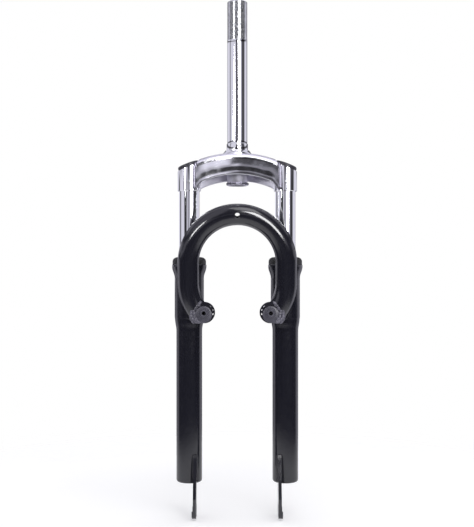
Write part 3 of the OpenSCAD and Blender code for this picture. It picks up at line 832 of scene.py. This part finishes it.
# %% Fillets on the sleeves and rings on the steerer
CROWN_RING_Z, FOOT_RING_Z = -COLLAR_H - CROWN_WALL - 0.4, STEERER_FOOT + 2.2
FOOT_LUMPS = 11


def crown_sleeve_seam():
    """Where the crown's front wall and corner meet the left sleeve: on each line of the section, the
    first x at which the distance from the sleeve's axis falls to the sleeve's radius."""
    c, low = CROWN_CORNER, CROWN_R - CROWN_FRONT_H + 1.5
    turn = np.radians(np.linspace(180, 140, 9))
    wall = np.linspace(low, CROWN_R - c, 24)[:-1]
    across = np.concatenate([-c + 0 * wall, c * np.cos(turn)])
    up = np.concatenate([wall, CROWN_R - c + c * np.sin(turn)])
    x = np.linspace(40, 60.5, 1641)[:, None]
    y = middle_y(x) - half_width(x) + c + across
    first = np.argmax(np.hypot(x - LEG_X, y - LEG_Y) < SLEEVE_R, axis=0)
    x_seam, y_seam = x[first, 0], y[first, np.arange(up.size)]
    z_seam = -(CROWN_R + COLLAR_H) + np.sqrt(up ** 2 - x_seam ** 2)
    down = np.clip((CROWN_R - c - up) / (CROWN_R - c - low), 0, 1)
    z_seam -= down * gusset(x_seam, CROWN_R - CROWN_FRONT_H)
    seam = np.stack([x_seam, y_seam, z_seam], axis=-1)
    from_sleeve = np.stack([x_seam - LEG_X, y_seam - LEG_Y, 0 * x_seam], axis=-1) / SLEEVE_R
    from_crown = np.stack([0 * x_seam, across / c, (up - CROWN_R + c).clip(0, c) / c], axis=-1)
    return seam, from_sleeve + from_crown


def steerer_ring(z, down):
    """A circle on the steerer's skin at the height z, and its way outwards, which also points down."""
    a = np.linspace(0, 2 * np.pi, 120, endpoint=False)
    circle = np.stack([STEERER_R * np.cos(a), STEERER_R * np.sin(a), z + 0 * a], axis=-1)
    return circle, np.stack([np.cos(a), np.sin(a), -down + 0 * a], axis=-1)


seam, outward = crown_sleeve_seam()
# The fillets take the darker weld chrome: painted shade in the crease between crown and sleeve.
for side_name, side in SIDES.items():
    add_bead(f"crown_fillet_{side_name}", mirrored(seam, side), mirrored(outward, side), SHADED_WELD_CHROME,
             "upper", "chrome", radius=2.4, ripple=0.03, sides=16)
add_bead("crown_weld", *steerer_ring(CROWN_RING_Z, 1.0), CHROME, "upper", "chrome",
         radius=2.0, closed=True, step=2.49)
# The foot ring takes the same darker weld chrome: painted shade under the crown.
add_bead("steerer_foot_weld", *steerer_ring(FOOT_RING_Z, 0.5), SHADED_WELD_CHROME, "upper", "chrome",
         radius=1.9, closed=True, ripple=0.5, step=2 * math.pi * STEERER_R / FOOT_LUMPS)
print("fillet from z", round(seam[:, 2].min(), 1), "to", round(seam[:, 2].max(), 1), "mm")

# %% [markdown]
# ## Sleeve caps
# A moulded plug closes each sleeve. Its head lies on the sleeve's sloped end, and its edge is
# well rounded, so from the front it looks like a pill. The head is a turned shape, leaned by
# the slope about the leg's axis, and the plug below it stays upright.


# %% Mould the caps
SLEEVE_TOP, SLEEVE_SLOPE = -22.0, math.radians(20.5)
CAP_R, CAP_T, CAP_ROUND, CAP_DOME = 13.9, 5.3, 2.1, 0.5
PLUG_R, PLUG_TOP = 11.0, -25.0


def cap_head(side):
    """Turned profile (r, h), leaned by a: x cos a + side h sin a, and top + h cos a - side x sin a. The
    edge is a quarter circle, and the dome falls by the square of r."""
    flat_r = CAP_R - CAP_ROUND
    edge = arc((flat_r, CAP_T - CAP_DOME - CAP_ROUND), CAP_ROUND, 0, 90, 9)
    dome_r = np.linspace(flat_r, 0, 9)[1:]
    dome = np.column_stack([dome_r, CAP_T - CAP_DOME * (dome_r / flat_r) ** 2])
    low_edge = [[0, 0], [CAP_R - 0.3, 0], [CAP_R, 0.3]]
    x, y, h = np.moveaxis(turned(np.concatenate([low_edge, edge, dome]), 96), -1, 0)
    c, s = math.cos(SLEEVE_SLOPE), side * math.sin(SLEEVE_SLOPE)
    return np.stack([side * LEG_X + x * c + h * s, LEG_Y + y, SLEEVE_TOP + h * c - x * s], axis=-1)


for side_name, side in SIDES.items():
    node = f"sleeve_cap_{side_name}"
    plug_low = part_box(node)[0][2] / MM
    head = dressed(surface("head", cap_head(side), wrap_columns=True), PLASTIC)
    plug = dressed(rod("plug", PLUG_R, plug_low, PLUG_TOP, (side * LEG_X, LEG_Y), 64), PLASTIC)
    cap = joined(f"sleeve_plug_{side_name}", head, plug)
    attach(cap, "upper")
    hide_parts(node)
print("cap head:", 2 * CAP_R, "x", CAP_T, "mm")

# %% [markdown]
# ## Coil springs
# Inside each stanchion a coil spring stands on the damper rod's head, which belongs to the lower legs. It
# gets shorter as the fork dips. Here it is wound once, at its length in the construction, and rides with
# neither body.


# %% Wind the springs
SPRING_MEAN_R, WIRE_R, SPRING_TURNS = 8.5, 1.7, 22


def coil(side, low, high, sides=12, steps=26):
    """Round wire on a helix: each end lies flat for half a turn, and between them z rises evenly."""
    turn = np.linspace(0, SPRING_TURNS, SPRING_TURNS * steps + 1)
    a = 2 * np.pi * turn[:, None]
    rise = np.clip((turn - 0.5) / (SPRING_TURNS - 1), 0, 1)[:, None]
    k = np.linspace(0, 2 * np.pi, sides, endpoint=False)[None, :]
    r = SPRING_MEAN_R + WIRE_R * np.cos(k)
    z = low + WIRE_R + (high - low - 2 * WIRE_R) * rise + WIRE_R * np.sin(k)
    return np.stack([side * LEG_X + r * np.cos(a), LEG_Y + r * np.sin(a), z], axis=-1)


for side_name, side in SIDES.items():
    node = f"spring_{side_name}"
    low, high = (corner[2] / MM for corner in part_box(node))
    spring = capped(surface(f"coil_spring_{side_name}", coil(side, low, high), wrap_columns=True))
    dressed(spring, SPRING_STEEL)
    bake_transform(spring)
    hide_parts(node)
print("spring height:", round(high - low, 1), "mm")

# %% [markdown]
# ## Floor
# The fork stands before plain white. The floor is a disc of matt white paper just under the
# dropouts, which takes the soft shadow and thins out to nothing, so that it has no edge. To
# the camera and to mirrors it is lifted a little, so it is as white as the room behind it.


# %% Floor and backdrop
FLOOR_Z = cad_low[2] - 1.0 * MM
PAPER_RADIUS = 0.75
FADE_START, FADE_END = 0.30, 0.66
PAPER_LIFT, PAPER_PATCH = 0.2, 1000 / 3


def paper_disc(rings=24, turns=96):
    """A flat disc on the floor: rings of radius R (i / n), in millimetres."""
    r = np.linspace(0, PAPER_RADIUS, rings)[:, None]
    t = np.linspace(0, 2 * np.pi, turns, endpoint=False)[None, :]
    return np.stack([r * np.cos(t), r * np.sin(t), FLOOR_Z + 0 * r * t], axis=-1) / MM


def white_paper():
    """Matt white paper that thins out to nothing towards the rim, so that the shadow has no edge."""
    material, tree, shader = new_material("white_paper", Roughness=0.95, Specular_IOR_Level=0.0)
    place = add(tree, "ShaderNodeTexCoord")
    two_tones(tree, shader, "#FAFAFB", "#F6F6F8", PAPER_PATCH)
    out = add(tree, "ShaderNodeVectorMath", settings={"operation": "LENGTH"},
              links={0: place.outputs["Object"]})
    fade = add(tree, "ShaderNodeMapRange", settings={"interpolation_type": "SMOOTHSTEP"},
               values={"From Min": math.hypot(FADE_START, FLOOR_Z),
                       "From Max": math.hypot(FADE_END, FLOOR_Z),
                       "To Min": 1.0, "To Max": 0.0}, links={"Value": out.outputs["Value"]})
    tree.links.new(fade.outputs["Result"], shader.inputs["Alpha"])
    rays = add(tree, "ShaderNodeLightPath")
    seen = add(tree, "ShaderNodeMath", settings={"operation": "MAXIMUM"},
               links={0: rays.outputs["Is Camera Ray"], 1: rays.outputs["Is Glossy Ray"]})
    lift = add(tree, "ShaderNodeMath", settings={"operation": "MULTIPLY"},
               values={1: PAPER_LIFT}, links={0: seen.outputs[0]})
    tree.links.new(lift.outputs[0], shader.inputs["Emission Strength"])
    shader.inputs["Emission Color"].default_value = linear("#F4F3FC")
    return material


backdrop = dressed(surface("backdrop", paper_disc(), wrap_columns=True), white_paper())
print("floor at z", round(FLOOR_Z, 4), "m")

# %% [markdown]
# ## Room
# Chrome shows nothing but what it mirrors, and in the photograph that is a bright room with a
# few dark gaps. The world holds that room. To the camera and to diffuse light it is plain
# white. A mirror sees tall dark gaps in it, in a lower and an upper tier, and one dark beam
# high up. Each is placed by its bearing, where a dark stripe of the photograph needs it. Below
# the horizon the front is dim and the back is bright, so glossy black shows only bright rims.


# %% World as a bright room
# Each gap: its bearing and half width in degrees, and the light that is left in it. Bearing 0
# is straight ahead of the fork, and positive ones are towards the rider's left.
GAPS_LOW = ((-41, 16, 0.04), (-9, 8, 0.35), (70, 21, 0.06),
            (-114, 12, 0.12), (11, 7, 0.55), (166, 13, 0.15))
GAPS_HIGH = ((-4.5, 12, 0.09), (70, 22, 0.10), (-88, 9, 0.42), (150, 15, 0.12), (-158, 9, 0.2))
GAPS_FLOOR = ((152, 9, 0.2), (-148, 12, 0.15), (179, 6, 0.35),
              (-38, 10, 0.3), (24, 8, 0.35), (66, 9, 0.3))
GAP_CORE, GAP_EDGE = 0.6, 1.25
# Heights are the z of a ray of length 1: 0 is level, 1 is straight up.
TIER_HEIGHT, TIER_SOFT = 0.092, 0.01
BEAM_HEIGHT, BEAM_CORE, BEAM_EDGE = 0.32, 0.05, 0.10
FLOOR_NEAR, FLOOR_FAR = -0.42, -0.25
GROUND, HORIZON = -0.03, -0.012
RIM_START, RIM_FULL = 92.0, 118.0
BRIGHT, BEAM_LIGHT, FLOOR_LIGHT, FLOOR_DARK = 0.88, 0.15, 0.17, 0.03
DIFFUSE_WHITE = 0.8


def gap_rows(tier, gaps):
    """A tier's light: the product over its gaps of a smooth step of |bearing - centre|, from the light
    left in the gap's core to 1 beyond its edge."""
    rows, light = [], 1.0
    for centre, half_angle, dark in gaps:
        rows += [("off", "SUBTRACT", "bearing", centre),
                 ("off", "ABSOLUTE", "off"),
                 ("gap", "SMOOTHSTEP", "off", half_angle * GAP_CORE, half_angle * GAP_EDGE, dark, 1.0),
                 (tier, "MULTIPLY", light, "gap")]
        light = tier
    return rows


# Each row: result, operation and inputs. A word is an earlier result and a number is itself. The
# inputs of a smooth step are the value, where it starts and ends, and its results there.
ROOM_ROWS = (
    ("ahead", "MULTIPLY", "y", -1.0),
    ("turn", "ARCTAN2", "x", "ahead"),
    ("bearing", "DEGREES", "turn"),
    *gap_rows("high gaps", GAPS_HIGH),
    *gap_rows("low gaps", GAPS_LOW),
    *gap_rows("floor gaps", GAPS_FLOOR),
    ("upper", "SMOOTHSTEP", "z", TIER_HEIGHT - TIER_SOFT, TIER_HEIGHT + TIER_SOFT, 0.0, 1.0),
    ("lower", "SUBTRACT", 1.0, "upper"),
    ("high part", "MULTIPLY", "high gaps", "upper"),
    ("low part", "MULTIPLY", "low gaps", "lower"),
    ("walls", "ADD", "high part", "low part"),
    ("front floor", "SMOOTHSTEP", "z", FLOOR_NEAR, FLOOR_FAR, FLOOR_LIGHT, FLOOR_DARK),
    ("sideways", "ABSOLUTE", "bearing"),
    ("behind", "SMOOTHSTEP", "sideways", RIM_START, RIM_FULL, 0.0, 1.0),
    ("floor light", "MAXIMUM", "front floor", "behind"),
    ("floor", "MULTIPLY", "floor gaps", "floor light"),
    ("below", "SMOOTHSTEP", "z", GROUND, HORIZON, 1.0, 0.0),
    ("above", "SUBTRACT", 1.0, "below"),
    ("floor part", "MULTIPLY", "floor", "below"),
    ("wall part", "MULTIPLY", "walls", "above"),
    ("room", "ADD", "floor part", "wall part"),
    ("rise", "SUBTRACT", "z", BEAM_HEIGHT),
    ("rise", "ABSOLUTE", "rise"),
    ("beam", "SMOOTHSTEP", "rise", BEAM_CORE, BEAM_EDGE, BEAM_LIGHT, 1.0),
    ("room", "MULTIPLY", "room", "beam"),
    ("room", "MULTIPLY", "room", BRIGHT),
    ("camera part", "MULTIPLY", 1.0 - DIFFUSE_WHITE, "camera ray"),
    ("plain", "ADD", DIFFUSE_WHITE, "camera part"),
    ("other ray", "SUBTRACT", 1.0, "mirror ray"),
    ("mirror part", "MULTIPLY", "room", "mirror ray"),
    ("plain part", "MULTIPLY", "plain", "other ray"),
    ("strength", "ADD", "mirror part", "plain part"),
)


def room():
    """World shader: white, and for mirror rays the room that the rows work out."""
    world = bpy.data.worlds.new("bright_room")
    world.use_nodes = True
    bpy.context.scene.world = world
    tree = world.node_tree
    tree.nodes.clear()
    place = add(tree, "ShaderNodeTexCoord")
    way = add(tree, "ShaderNodeSeparateXYZ", links={"Vector": place.outputs["Generated"]})
    rays = add(tree, "ShaderNodeLightPath")
    sockets = {"x": way.outputs[0], "y": way.outputs[1], "z": way.outputs[2],
               "camera ray": rays.outputs["Is Camera Ray"], "mirror ray": rays.outputs["Is Glossy Ray"]}
    for result, operation, *inputs in ROOM_ROWS:
        smooth = operation == "SMOOTHSTEP"
        values = {i: value for i, value in enumerate(inputs) if not isinstance(value, str)}
        links = {i: sockets[value] for i, value in enumerate(inputs) if isinstance(value, str)}
        node = add(tree, "ShaderNodeMapRange" if smooth else "ShaderNodeMath",
                   {"interpolation_type" if smooth else "operation": operation}, values, links)
        sockets[result] = node.outputs[0]
    tint = add(tree, "ShaderNodeMix", settings={"data_type": "RGBA"},
               values={"A": linear("#FFFFFF"), "B": linear("#EFEDFA")},
               links={"Factor": sockets["mirror ray"]})
    shine = add(tree, "ShaderNodeBackground",
                links={"Strength": sockets["strength"], "Color": tint.outputs["Result"]})
    add(tree, "ShaderNodeOutputWorld", links={"Surface": shine.outputs["Background"]})


room()
print("dark gaps in the room:", len(GAPS_LOW) + len(GAPS_HIGH) + len(GAPS_FLOOR))

# %% [markdown]
# ## Lamps
# One weak lamp from above models the shapes. Two softboxes, one large on the right and one
# small on the left, give the long soft highlights on the arch and the legs. They are seen by
# gloss alone, so they add no light to matt surfaces.


# %% Soft lamps
FORK_MIDDLE = np.array([0.0, LEG_Y, -190.0])


def lamp(name, bearing, rise, width_mm, height_mm, roll, watts, reach_mm=1300.0):
    """An area lamp that looks at the fork from a bearing and a rise in degrees, turned by roll."""
    data = bpy.data.lights.new(name, "AREA")
    data.shape, data.size, data.size_y, data.energy = "RECTANGLE", width_mm * MM, height_mm * MM, watts
    light = bpy.data.objects.new(name, data)
    bpy.context.scene.collection.objects.link(light)
    b, e = math.radians(bearing), math.radians(rise)
    out = np.array([math.cos(e) * math.sin(b), -math.cos(e) * math.cos(b), math.sin(e)])
    light.location = (FORK_MIDDLE + reach_mm * out) * MM
    aim = mathutils.Vector(-out).to_track_quat("-Z", "Y")
    light.rotation_euler = (aim @ mathutils.Quaternion((0, 0, 1), math.radians(roll))).to_euler()
    return light


lamp("top_lamp", bearing=20, rise=62, width_mm=700, height_mm=700, roll=0, watts=4)
softboxes = (lamp("right_softbox", bearing=23, rise=22, width_mm=380, height_mm=880, roll=23, watts=17),
             lamp("left_softbox", bearing=-39, rise=18, width_mm=200, height_mm=430, roll=-59, watts=5))
for softbox in softboxes:
    softbox.visible_diffuse = False
bpy.context.scene.view_settings.view_transform = "Standard"
print("lamps:", 1 + len(softboxes))
